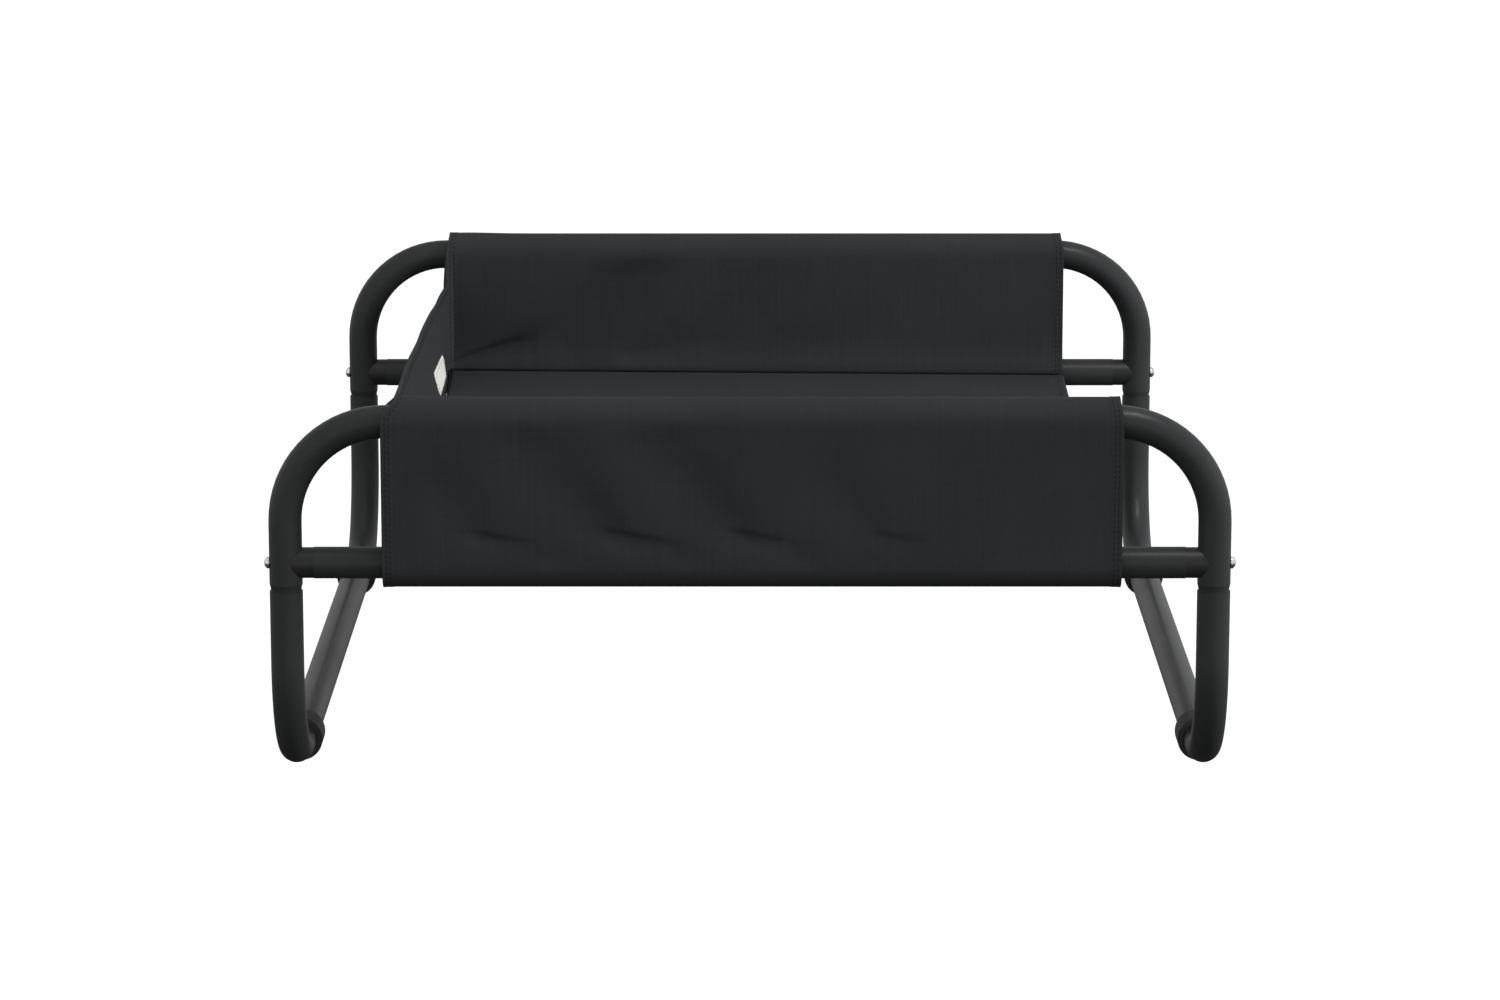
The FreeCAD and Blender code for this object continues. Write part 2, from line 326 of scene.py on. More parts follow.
# %% Spin the thread
def sewing_thread(name, dark, light):
    material, make, join = material_with_nodes(name)
    where = make.new("ShaderNodeTexCoord")
    twist = make.new("ShaderNodeTexWave")
    twist.wave_type = "BANDS"
    twist.bands_direction = "DIAGONAL"
    twist.inputs["Scale"].default_value = 900.0
    join.new(where.outputs["Object"], twist.inputs["Vector"])
    fuzz = cloudy(make, join, where.outputs["Object"], 1500.0)
    shader = make.new("ShaderNodeBsdfPrincipled")
    join.new(two_colours(make, join, twist.outputs["Fac"], dark, light), shader.inputs["Base Color"])
    join.new(between(make, join, fuzz, 0.6, 0.85), shader.inputs["Roughness"])
    shader.inputs["Specular IOR Level"].default_value = 0.1
    finish_material(make, join, shader, twist.outputs["Fac"], 0.0001)
    return material


dark_thread = sewing_thread("dark_thread", (0.0085, 0.0085, 0.0090), (0.0200, 0.0205, 0.0215))
cream_thread = sewing_thread("cream_thread", (0.40, 0.38, 0.34), (0.66, 0.64, 0.59))
# The seam cord's finish is darker than the thread. It is painted shade for the groove round the seat.
seam_shade_cord = sewing_thread("seam_shade_cord", (0.0060, 0.0060, 0.0065), (0.0130, 0.0132, 0.0140))

# %% [markdown]
# ## The arm covers
#
# Each arm cover is one strip of cloth that goes over the arm's top tube, down both sides and under the
# seat rail, where its ends are sewn together. Pulled tight it would be a flat belt, but it seems cut a
# little long and the seat drags at it, so slanted folds run across it and end in short creases.
# One vertex is spun over the top tube, drawn down, spun under the rail and drawn up again, and the
# ring that it leaves is extruded along the arm. Closely spaced rings at both ends are for the hems.

# %% Measure a cover
half_top = math.pi * top_loop
half_low = math.pi * low_loop
drop = top_z - rail_z
girth = half_top + drop + half_low + drop
hem_width = 0.0070
stitch_rows = (0.0032, 0.0062)
cover_ends = {-1: (-hem_x + 0.0030, hem_x), 1: (-hem_x + 0.0066, hem_x + 0.0024)}


def hem_stations(low, high, grid):
    """Places along a piece, close together inside each hem and a grid apart between them."""
    edge = [0, 0.0008, 0.0020, 0.0032, 0.0044, 0.0053, 0.0062, 0.0071, 0.0082, 0.0102]
    inside = high - low - 2 * edge[-1]
    count = round(inside / grid)
    middle = [low + edge[-1] + inside * step / count for step in range(1, count)]
    return [low + e for e in edge] + middle + [high - e for e in reversed(edge)]


def wall_heights(grid):
    """Heights up a cover's flat wall, twice as close where the short creases are."""
    creased = (0.009, 0.033)
    low = [creased[0] * step / 3 for step in range(3)]
    middle = [creased[0] + (creased[1] - creased[0]) * step / 18 for step in range(18)]
    count = round((drop - creased[1]) / grid)
    return low + middle + [creased[1] + (drop - creased[1]) * step / count for step in range(count + 1)]


def way_round(side, y, z):
    """How far round the cover a point is, in metres of cloth, from the arm's inner side over the top."""
    out = side * (y - side * arm_y)
    if z >= top_z:
        return top_loop * math.atan2(z - top_z, -out)
    if z <= rail_z:
        return half_top + drop + low_loop * math.atan2(rail_z - z, out)
    if out > 0:
        return half_top + top_z - z
    return half_top + drop + half_low + z - rail_z


# %% Extrude a cover
def half_turn(bm, vert, side, x, z):
    """Spins the cloth's edge round a tube and gives the vertex where it leaves the tube."""
    turned = bmesh.ops.spin(bm, geom=[vert], cent=(x, side * arm_y, z), axis=(1, 0, 0), dvec=(0, 0, 0),
                            angle=-side * math.pi, steps=20, use_merge=False, use_duplicate=False)
    return [g for g in turned["geom_last"] if isinstance(g, bmesh.types.BMVert)][0]


def cover_shell(side, grid=0.0030):
    """The cover as a plain belt, with its flat-cloth coordinates kept in its UV map."""
    bm = bmesh.new()
    start_x, end_x = cover_ends[side]
    heights = [rail_z + height for height in wall_heights(grid)]
    last = bm.verts.new((start_x, side * (arm_y - top_loop), top_z))
    last = half_turn(bm, last, side, start_x, top_z)
    for walls in (list(reversed(heights)), heights):
        for before, after in zip(walls, walls[1:]):
            last = bmesh.ops.extrude_vert_indiv(bm, verts=[last])["verts"][0]
            narrowing = side * (top_loop - low_loop) * abs(after - before) / drop
            last.co += Vector((0, -narrowing, after - before))
        if walls[-1] < top_z:
            last = half_turn(bm, last, side, start_x, rail_z)
    bmesh.ops.remove_doubles(bm, verts=bm.verts, dist=0.0003)
    ring = list(bm.edges)
    stations = hem_stations(start_x, end_x, grid)
    for before, after in zip(stations, stations[1:]):
        grown = bmesh.ops.extrude_edge_only(bm, edges=ring)["geom"]
        new = [g for g in grown if isinstance(g, bmesh.types.BMVert)]
        bmesh.ops.translate(bm, verts=new, vec=(after - before, 0, 0))
        new = set(new)
        ring = [g for g in grown if isinstance(g, bmesh.types.BMEdge) and new.issuperset(g.verts)]
    bmesh.ops.recalc_face_normals(bm, faces=bm.faces)
    outer_faces = [f for f in bm.faces if side * f.calc_center_median().y > arm_y + 0.9 * low_loop]
    outward = side * sum(f.normal.y for f in outer_faces)
    if outward < 0:
        bmesh.ops.reverse_faces(bm, faces=bm.faces)
    cloth_map = bm.loops.layers.uv.new("cloth")
    for face in bm.faces:
        places = [way_round(side, v.vert.co.y, v.vert.co.z) for v in face.loops]
        wraps = max(places) - min(places) > girth / 2
        for loop, place in zip(face.loops, places):
            loop[cloth_map].uv = (loop.vert.co.x, place + girth if wraps and place < girth / 2 else place)
    return bm


# %% [markdown]
# A fold in hanging cloth is steep on its upper side, where the cloth tucks under, and gentle on its
# lower side. So each fold is a line across the cloth, and a point near it moves inward by a bell curve
# that is narrow above the line and wide below it. The line's depth and width change along its length.

# %% Describe the folds
def bell(distance, reach):
    return math.exp(-(distance / reach) ** 2)


def smooth_step(value):
    value = min(1.0, max(0.0, value))
    return value * value * (3 - 2 * value)


def fold_depth(x, z, line):
    """The depth of one fold at a point, in mm. The line lists (x, z, depth, reach above, reach below)."""
    nearest, best = None, 1e9
    for a, b in zip(line, line[1:]):
        along_x, along_z = b[0] - a[0], b[1] - a[1]
        share = ((x - a[0]) * along_x + (z - a[1]) * along_z) / (along_x ** 2 + along_z ** 2)
        share = min(1.0, max(0.0, share))
        away_x, away_z = x - a[0] - share * along_x, z - a[1] - share * along_z
        distance = math.hypot(away_x, away_z)
        if distance < best:
            best = distance
            above = away_x * -along_z + away_z * along_x
            if along_x < 0:
                above = -above
            nearest = [p + share * (q - p) for p, q in zip(a, b)] + [above]
    depth, reach_above, reach_below, above = nearest[2:]
    reach = reach_above if above > 0 else reach_below
    return depth * bell(best, reach)


right_outer_folds = [
    [(-254, 272, 0.0, 20, 26), (-240, 250, 1.8, 20, 28), (-224, 230, 2.8, 18, 28), (-210, 213, 2.2, 13, 22),
     (-198, 203, 0.8, 8, 16), (-180, 190, 0.0, 8, 14)],
    [(-214, 205, 0.3, 3, 9), (-204, 203, 1.5, 2.6, 9), (-190, 200, 2.0, 2.4, 10), (-172, 197, 1.1, 2.8, 9),
     (-158, 194, 0.0, 4, 8)],
    [(-170, 190, 0.0, 12, 12), (-150, 182, 1.0, 12, 12), (-140, 166, 0.0, 12, 12)],
    [(-190, 290, 0.0, 22, 28), (-168, 270, 2.2, 22, 30), (-142, 245, 3.6, 20, 30), (-120, 222, 3.8, 16, 27),
     (-104, 208, 2.6, 11, 20), (-92, 200, 0.8, 8, 15), (-76, 190, 0.0, 8, 14)],
    [(-114, 206, 0.3, 4.0, 10), (-104, 203.5, 2.3, 3.2, 10), (-88, 200.5, 3.0, 3.0, 11),
     (-68, 197, 1.7, 3.2, 10), (-48, 193, 0.0, 4.5, 8)],
    [(-68, 190, 0.0, 13, 13), (-48, 181, 1.2, 13, 12), (-38, 164, 0.0, 12, 12)],
    [(-92, 292, 0.0, 22, 28), (-68, 272, 2.0, 22, 30), (-42, 245, 3.2, 19, 28), (-22, 222, 3.3, 15, 25),
     (-8, 208, 2.2, 10, 18), (4, 200, 0.6, 8, 14), (20, 190, 0.0, 8, 14)],
    [(-18, 205, 0.3, 4.0, 10), (-8, 203, 2.1, 3.2, 10), (6, 200.5, 2.5, 3.0, 10), (24, 197.5, 1.2, 3.2, 9),
     (40, 194, 0.0, 4.5, 8)],
    [(22, 190, 0.0, 13, 13), (40, 180, 1.1, 13, 12), (50, 164, 0.0, 12, 12)],
    [(40, 268, 0.0, 20, 26), (58, 247, 1.3, 19, 26), (76, 226, 1.7, 15, 22), (92, 207, 0.9, 9, 16),
     (102, 199, 0.0, 8, 12)],
    [(88, 204, 0.2, 3.5, 9), (100, 202, 1.0, 2.8, 9), (114, 199, 1.0, 2.8, 9), (134, 196, 0.0, 4, 8)],
]
left_inner_folds = [
    [(-262, 187, 0.8, 5, 8), (-244, 194, 2.4, 7, 10), (-221, 200, 4.8, 11, 14), (-198, 207, 6.4, 14, 20),
     (-172, 220, 7.2, 17, 28), (-146, 241, 6.8, 18, 28), (-122, 259, 5.2, 17, 28), (-98, 274, 3.2, 15, 24),
     (-66, 288, 0.0, 12, 18)],
    [(-268, 190, 1.8, 2.9, 7), (-250, 196.5, 3.6, 2.8, 7), (-231, 203, 3.8, 2.8, 8),
     (-212, 208.5, 2.6, 3.1, 9), (-192, 213, 0.0, 5, 9)],
    [(-122, 192, 0.0, 6, 8), (-104, 196, 2.0, 7, 10), (-68, 204, 3.1, 16, 16), (-34, 220, 3.6, 21, 24),
     (0, 243, 3.2, 23, 28), (28, 270, 1.6, 20, 24), (44, 288, 0.0, 16, 20)],
    [(24, 200, 0.0, 14, 12), (66, 207, 1.2, 20, 16), (110, 228, 1.5, 26, 24), (150, 258, 0.8, 24, 24),
     (176, 280, 0.0, 20, 20)],
]


def swap_ends(folds, shift, share):
    """The same sort of folds elsewhere: along the arm, a little weaker, so that no two sides match."""
    return [[(x + shift, z, depth * share, up, down) for x, z, depth, up, down in line] for line in folds]


cover_folds = {
    (-1, True): right_outer_folds,
    (1, False): left_inner_folds,
    (-1, False): swap_ends(left_inner_folds, 14, 0.85),
    (1, True): swap_ends(right_outer_folds, -18, 0.9),
}
print("folds", sum(len(folds) for folds in cover_folds.values()))

# %% [markdown]
# Two more things pull at a cover. The low back is sewn to the inner side of its back hem and draws it
# towards the middle of the bed, and the cloth creeps a little on the rounded top, so that the hem does
# not cross the tube square. The hem itself is a double fold with two rows of stitches pressed into it.

# %% Shape a cover
fold_strength = 1.1
back_pull = 0.0125
back_pull_reach = 0.0062
seat_pull = 0.0042
crown_creep = {-1: 0.0100, 1: 0.0022}
seat_back_z = seat_z + 0.0028
seat_front_z = seat_z - 0.0014


def seat_height(x):
    """The seat's upper face, a little higher at the back."""
    return seat_back_z + (seat_front_z - seat_back_z) * (x + hem_x) / (2 * hem_x)


def inward_pull(side, x, z):
    """How far a cover's inner side is drawn towards the middle of the bed by the back and the seat."""
    from_hem = (x - cover_ends[side][0]) / back_pull_reach
    low_part = smooth_step((top_z + top_loop - z) / 0.064)
    by_back = back_pull * low_part * (1 - min(1.0, max(0.0, from_hem)))
    above_seat = z - seat_height(x)
    by_seat = seat_pull * bell(above_seat, 0.014 if above_seat > 0 else 0.010)
    return max(by_back, by_seat) + 0.25 * min(by_back, by_seat)


def hem_relief(from_edge):
    """The hem stands proud of the cloth, and each row of stitches sinks into it."""
    proud = 0.00045 * (1 - smooth_step((from_edge - hem_width) / 0.0016))
    sunk = sum(0.00040 * bell(from_edge - row, 0.0010) for row in stitch_rows)
    return proud - sunk


def shape_cover(bm, side):
    mid_y = side * arm_y
    bm.normal_update()
    moves = []
    for vert in bm.verts:
        x, y, z = vert.co
        outer = side * (y - mid_y) > 0
        wall = smooth_step((top_z + 0.004 - z) / 0.020) * smooth_step((z - rail_z + 0.006) / 0.014)
        depth = sum(fold_depth(x / mm, z / mm, line) for line in cover_folds[side, outer])
        into = Vector((0, -side if outer else side, 0))
        move = into * (fold_strength * depth * mm) * wall
        if not outer:
            move += Vector((0, -side * inward_pull(side, x, z), 0))
        from_back, from_front = x - cover_ends[side][0], cover_ends[side][1] - x
        move += vert.normal * hem_relief(min(from_back, from_front))
        upper = smooth_step((z - top_z - top_loop + 0.013) / 0.013)
        creep = crown_creep[side] * bell(from_back, 0.020) - 0.0020 * bell(from_front, 0.030)
        move.x += creep * upper
        move.z += 0.0008 * upper * bell(from_back - 0.018, 0.03)
        moves.append(move)
    for vert, move in zip(bm.verts, moves):
        vert.co += move


def piece_from(bm, name, material):
    mesh = bpy.data.meshes.new(name)
    bm.to_mesh(mesh)
    mesh.shade_smooth()
    mesh.materials.append(material)
    piece = bpy.data.objects.new(name, mesh)
    scene.collection.objects.link(piece)
    return piece


# %% [markdown]
# An arm cover is held by its tubes above and below, and a trial of Cloth hardly moved it, so its folds
# are drawn. The seat and the back hang free between their seams, so Blender's Cloth lets them settle:
# it pins what is sewn, runs for a few frames, and the result is written into the mesh. The whole move
# is scaled down to a cap, because taut cloth sags far less than the loose cloth of the simulation.

# %% Let cloth settle
def settle(piece, held, frames, cap, slack=0.0, stiffness=20.0):
    """Runs Cloth with the held points pinned, and scales the whole move down to the cap."""
    pins = piece.vertex_groups.new(name="held_points")
    for vert in piece.data.vertices:
        pins.add([vert.index], held(vert.co), "REPLACE")
    cloth = piece.modifiers.new("settle", "CLOTH")
    rules = cloth.settings
    rules.quality = 6
    rules.mass = 0.3
    rules.tension_stiffness = rules.compression_stiffness = stiffness
    rules.shear_stiffness = stiffness / 3
    rules.bending_stiffness = 2.0
    rules.vertex_group_mass = pins.name
    rules.shrink_min = -slack
    rules.effector_weights.gravity = 1.0
    cloth.collision_settings.use_collision = False
    cloth.point_cache.frame_start, cloth.point_cache.frame_end = 1, frames
    for frame_number in range(1, frames + 1):
        scene.frame_set(frame_number)
    settled = piece.evaluated_get(bpy.context.evaluated_depsgraph_get()).data
    moves = [after.co - before.co for before, after in zip(piece.data.vertices, settled.vertices)]
    piece.modifiers.remove(cloth)
    piece.vertex_groups.remove(pins)
    scene.frame_set(1)
    share = min(1.0, cap / max(move.length for move in moves))
    for vert, move in zip(piece.data.vertices, moves):
        vert.co += move * share
    print(piece.name, "settled, and took", round(share, 3), "of the way")


# %% [markdown]
# The bed's cloth is taken as two layers with thin wadding between them, and a sheet without thickness
# would look like paper at its edges. Solidify gives it a wall. On the covers and the seat the wall is
# thinner at the hem, where stitches press the layers together. A small bevel rounds the edge so that it
# catches the light. Both are modifiers, so the mesh below them stays one sheet, and the rows of
# stitches are measured from that.

# %% Thicken a sheet into double cloth
def thicken(piece, thickness, at_hem, hem_distance):
    """Gives a sheet its thickness inward, down to the share at_hem at its hem, with a rounded edge."""
    layers = piece.vertex_groups.new(name="layers")
    for vert in piece.data.vertices:
        fade = smooth_step(hem_distance(vert.co) / 0.016)
        layers.add([vert.index], at_hem + (1 - at_hem) * fade, "REPLACE")
    wall = piece.modifiers.new("wall", "SOLIDIFY")
    wall.thickness = thickness
    wall.offset = -1
    wall.use_rim = True
    wall.vertex_group = layers.name
    rounding = piece.modifiers.new("rounding", "BEVEL")
    rounding.width = 0.0006
    rounding.segments = 2
    rounding.limit_method = "ANGLE"
    rounding.angle_limit = math.radians(55)


# %% Make both covers
arm_covers = {}
for side_name, side in (("right", -1), ("left", 1)):
    bm = cover_shell(side)
    shape_cover(bm, side)
    piece = piece_from(bm, side_name + "_cover_cloth", cover_cloth)
    bm.free()
    arm_covers[side_name] = piece
    print(piece.name, len(piece.data.polygons), "faces before the wall")

# %% [markdown]
# ## Stitches
#
# A lockstitch shows as a row of short threads, each one dipping into the cloth at both ends. Every
# stitch is the same small rounded bead, drawn out along the seam, so one function sews any row of
# points. The rows follow the finished cloth, and each bead sits half sunk in its groove.

# %% Sew a row
def pour(few, bm):
    """Moves what is in a small bmesh into a large one, which stays quick however many stitches it holds."""
    carrier = bpy.data.meshes.new("carrier")
    few.to_mesh(carrier)
    bm.from_mesh(carrier)
    bpy.data.meshes.remove(carrier)
    few.clear()


def sew(bm, path, outward, length=0.0030, pitch=0.0042, thickness=0.00085):
    """Adds a stitch every pitch along a path of points, each with the cloth's direction outward."""
    few = bmesh.new()
    size = Matrix.Diagonal((length / 2, thickness / 2, thickness / 2, 1))
    lay_down = Matrix.Rotation(math.pi / 2, 4, "Y")
    ahead, travelled, count = pitch / 2, 0.0, 0
    for a, b, way in zip(path, path[1:], outward):
        step = (b - a).length
        while step and ahead <= travelled + step:
            place = a.lerp(b, (ahead - travelled) / step)
            along = (b - a).normalized()
            across = way.cross(along).normalized()
            turn = Matrix((along, across, along.cross(across))).transposed().to_4x4()
            bmesh.ops.create_uvsphere(few, u_segments=6, v_segments=4, radius=1.0,
                                      matrix=Matrix.Translation(place) @ turn @ size @ lay_down)
            ahead += pitch
            count += 1
            if count % 20 == 0:
                pour(few, bm)
        travelled += step
    pour(few, bm)
    few.free()
    return count


def row_on_cover(piece, x):
    """The points of the cover's ring of cloth that was built at one place along the arm."""
    cloth_map = piece.data.uv_layers["cloth"].data
    normals = piece.data.vertex_normals
    found = {}
    for loop in piece.data.loops:
        u, v = cloth_map[loop.index].uv
        if abs(u - x) < 0.0002:
            found[round(v % girth, 5)] = loop.vertex_index
    ring = [found[v] for v in sorted(found)]
    ring.append(ring[0])
    places = [piece.data.vertices[i].co.copy() for i in ring]
    return places, [normals[i].vector.copy() for i in ring]


for (side_name, piece), side in zip(arm_covers.items(), (-1, 1)):
    low_end, high_end = cover_ends[side]
    bm = bmesh.new()
    count = 0
    for x in [low_end + row for row in stitch_rows] + [high_end - row for row in stitch_rows]:
        count += sew(bm, *row_on_cover(piece, x))
    stitches = piece_from(bm, side_name + "_cover_stitches", dark_thread)
    bm.free()
    thicken(piece, 0.0054, 0.55, lambda place: min(place.x - low_end, high_end - place.x))
    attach(piece, "upper_frame")
    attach(stitches, "upper_frame")
    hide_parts(side_name + "_arm_cover")
    print(stitches.name, count, "stitches")

# %% [markdown]
# ## The seat
#
# The dog lies on a sheet of double cloth that is sewn to both arm covers and to the low back, and whose
# front edge is a free hem. It starts as a flat grid fitted between the covers. Cloth simulation then
# lets it sag under its own weight from its sewn edges, as a hammock would, and the front hem, which
# nothing holds between the arms, goes down the most.

# %% Fit the seat's outline
cover_gap = 0.0004
seat_front_x = hem_x + 0.0030
seat_waist = 0.0070
seat_grid = 0.0050


def cover_inner_y(side, x, z):
    """How far from the middle of the bed an arm cover's inner side is."""
    share = min(1.0, max(0.0, (z - rail_z) / drop))
    return arm_y - low_loop - share * (top_loop - low_loop) - inward_pull(side, x, z)


def corner_x(y):
    """The line between the two arm covers' back hems, which aren't quite level with each other."""
    share = (y + arm_y) / (2 * arm_y)
    return cover_ends[-1][0] + share * (cover_ends[1][0] - cover_ends[-1][0])


def seat_back_x(y):
    """The seam of seat and back, drawn in between the arms."""
    return corner_x(y) + 0.0012 + seat_waist * (1 - min(1.0, abs(y) / arm_y) ** 4)


def spread(low, high, count):
    return [low + (high - low) * step / count for step in range(count + 1)]


seat_across = spread(-1.0, 1.0, round(2 * arm_y / seat_grid))


def grid_sheet(rows, columns, place, cloth_place):
    """A sheet drawn from one vertex to a line and from the line to a sheet, with its flat map."""
    bm = bmesh.new()
    last = bm.verts.new((0, 0, 0))
    for _ in columns[1:]:
        last = bmesh.ops.extrude_vert_indiv(bm, verts=[last])["verts"][0]
    for vert, column in zip(bm.verts, columns):
        vert.co = Vector((rows[0], column, 0))
    line = list(bm.edges)
    for before, after in zip(rows, rows[1:]):
        grown = bmesh.ops.extrude_edge_only(bm, edges=line)["geom"]
        new = [g for g in grown if isinstance(g, bmesh.types.BMVert)]
        bmesh.ops.translate(bm, verts=new, vec=(after - before, 0, 0))
        new = set(new)
        line = [g for g in grown if isinstance(g, bmesh.types.BMEdge) and new.issuperset(g.verts)]
    cloth_map = bm.loops.layers.uv.new("cloth")
    for face in bm.faces:
        for loop in face.loops:
            loop[cloth_map].uv = cloth_place(loop.vert.co.x, loop.vert.co.y)
    for vert in bm.verts:
        vert.co = place(vert.co.x, vert.co.y)
    bmesh.ops.recalc_face_normals(bm, faces=bm.faces)
    return bm


# %% Make the seat
seat_rows = hem_stations(-hem_x, seat_front_x, seat_grid)


def seat_place(row, column):
    """A point of the flat seat: row is how far forward it is, column from -1 to 1 across."""
    share = (row + hem_x) / (seat_front_x + hem_x)
    rough_y = column * arm_y
    x = seat_back_x(rough_y) + share * (seat_front_x - seat_back_x(rough_y))
    z = seat_height(x)
    side = math.copysign(1, column)
    y = column * (cover_inner_y(side, x, z) - cover_gap)
    rolled = 0.0030 * bell((1 - abs(column)) * arm_y, 0.0045)
    return Vector((x, y, z - rolled))


def seat_held(place):
    """The seat is sewn along its sides and its back, and its front hem is only held at its ends."""
    from_side = cover_inner_y(1, place.x, place.z) - abs(place.y)
    from_back = place.x - seat_back_x(place.y)
    return 1.0 if min(from_side, from_back) < 0.008 else 0.0


bm = grid_sheet(seat_rows, seat_across, seat_place, lambda row, column: (row, column * arm_y))
if sum(face.normal.z for face in bm.faces) < 0:
    bmesh.ops.reverse_faces(bm, faces=bm.faces)
seat = piece_from(bm, "seat_cloth", cover_cloth)
bm.free()
settle(seat, seat_held, 24, 0.0075, slack=0.0012, stiffness=25.0)

for vert in seat.data.vertices:
    from_front = seat_front_x - vert.co.x
    vert.co.z += hem_relief(from_front) - 0.0016 * bell(from_front, 0.0014)
seat_lowest = min(v.co.z for v in seat.data.vertices)
print("seat", len(seat.data.polygons), "faces, lowest at", round(seat_lowest, 4), "m")


# %% Sew the seat's front hem
def row_on_sheet(piece, axis, value, backwards=False):
    """The points of one row of a sheet's flat map, in order, with the cloth's direction at each."""
    cloth_map = piece.data.uv_layers["cloth"].data
    normals = piece.data.vertex_normals
    found = {}
    for loop in piece.data.loops:
        place = cloth_map[loop.index].uv
        if abs(place[axis] - value) < 0.0002:
            found[round(place[1 - axis], 5)] = loop.vertex_index
    line = [found[v] for v in sorted(found, reverse=backwards)]
    places = [piece.data.vertices[i].co.copy() for i in line]
    return places, [normals[i].vector.copy() for i in line]


bm = bmesh.new()
count = sum(sew(bm, *row_on_sheet(seat, 0, seat_front_x - row)) for row in stitch_rows)
seat_stitches = piece_from(bm, "seat_stitches", dark_thread)
bm.free()
thicken(seat, 0.0042, 0.55, lambda place: seat_front_x - place.x)
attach(seat, "upper_frame")
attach(seat_stitches, "upper_frame")

# %% [markdown]
# Where the seat meets the covers and the back, the seam lies in a narrow groove, and shade darkens it.
# That shade is painted: a thin round cord, darker than the cloth and the thread, is laid in the groove.
# It is a curve with a round section, turned into a mesh so that it can carry the stitched thread's
# finish.

# %% Lay the dark cord of painted seam shade
# A cord of painted shade runs along the seat's seams, where the groove is shaded.
shade_cord_radius = 0.0011
shade_cord_path = []
for x in reversed(spread(corner_x(-arm_y) + 0.005, seat_front_x - 0.004, 110)):
    shade_cord_path.append((x, -cover_inner_y(-1, x, seat_height(x)) + shade_cord_radius, seat_height(x) - 0.0004))
for column in spread(-0.99, 0.99, 120):
    side = math.copysign(1, column)
    y = column * (cover_inner_y(side, cover_ends[side][0], seat_back_z) - 0.002)
    shade_cord_path.append((seat_back_x(y) + 0.0014, y, seat_back_z - 0.0004))
for x in spread(corner_x(arm_y) + 0.005, seat_front_x - 0.004, 110):
    shade_cord_path.append((x, cover_inner_y(1, x, seat_height(x)) - shade_cord_radius, seat_height(x) - 0.0004))
shade_cord_curve = bpy.data.curves.new("seam_shade_curve", "CURVE")
shade_cord_curve.dimensions = "3D"
line = shade_cord_curve.splines.new("POLY")
line.points.add(len(shade_cord_path) - 1)
for point, place in zip(line.points, shade_cord_path):
    point.co = (*place, 1)
shade_cord_curve.bevel_depth = shade_cord_radius
shade_cord_curve.bevel_resolution = 2
shade_cord_curve.use_fill_caps = True
shade_cord_object = bpy.data.objects.new("seam_shade_curve", shade_cord_curve)
shade_cord_mesh = bpy.data.meshes.new_from_object(shade_cord_object)
bpy.data.objects.remove(shade_cord_object)
bpy.data.curves.remove(shade_cord_curve)
shade_cord_mesh.name = "seam_shade_line"
shade_cord_mesh.materials.clear()
shade_cord_mesh.materials.append(seam_shade_cord)
shade_cord_mesh.shade_smooth()
shade_cord = bpy.data.objects.new("seam_shade_line", shade_cord_mesh)
scene.collection.objects.link(shade_cord)
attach(shade_cord, "upper_frame")
print("shade_cord", len(shade_cord_mesh.polygons), "faces")

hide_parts("seat_sheet")
print("seat stitches", count)

# %% [markdown]
# ## The low back
#
# The back is a low strip of the same double cloth. Its foot is sewn to the seat, its ends to the arm
# covers, and its top edge is a free hem that is a little longer than the seam below it, so the top
# swings outwards between the arms and dips in the middle. It is drawn as a grid of rows from foot to
# hem, and every row is bent to its own arc.

# %% Shape the back
back_foot_z = seat_back_z - 0.0040
back_ends_z = back_z - 0.0008
back_dip = 0.0070
back_swing = 0.0105
back_grid = 0.0050
back_cloth_thickness = 0.0030
back_ripples = ((-0.62, 0.0012, 0.10), (-0.2, 0.0008, 0.14), (0.34, 0.0011, 0.12), (0.8, 0.0010, 0.06))
back_tall = back_ends_z - back_foot_z


def back_point(rise, column):
    """A point of the back: rise is how far up the cloth it is, column from -1 to 1 across."""
    share = rise / back_tall
    dip = back_dip * smooth_step(share) * (1 - column * column)
    z = back_foot_z + rise - dip
    foot_x = seat_back_x(column * arm_y) - 0.0006
    top_x = corner_x(column * arm_y) + 0.0006 - back_swing * (1 - abs(column) ** 2.4)
    swell = 0.0014 * math.sin(math.pi * share) * (1 - column ** 4)
    x = foot_x + (top_x - foot_x) * share - swell
    ripple = sum(depth * bell(column - at, reach) * share * share for at, depth, reach in back_ripples)
    side = math.copysign(1, column)
    y = column * (cover_inner_y(side, cover_ends[side][0], z) - cover_gap)
    return Vector((x + ripple, y, z))


back_rows = hem_stations(0.0, back_tall, back_grid)
back_across = spread(-1.0, 1.0, round(2 * arm_y / back_grid))
bm = grid_sheet(back_rows, back_across, back_point, lambda row, column: (column * arm_y, row))
if sum(face.normal.x for face in bm.faces) < 0:
    bmesh.ops.reverse_faces(bm, faces=bm.faces)
back = piece_from(bm, "back_cloth", cover_cloth)
bm.free()


def back_held(place):
    end = cover_inner_y(1, cover_ends[1][0], place.z) - abs(place.y)
    return 1.0 if end < 0.006 or place.z < back_foot_z + 0.004 else 0.1


settle(back, back_held, 8, 0.0015)
for vert in back.data.vertices:
    column = vert.co.y / arm_y
    hem_line = back_ends_z - back_dip * (1 - column * column)
    vert.co.x += hem_relief(hem_line - vert.co.z)
print("back", len(back.data.polygons), "faces")

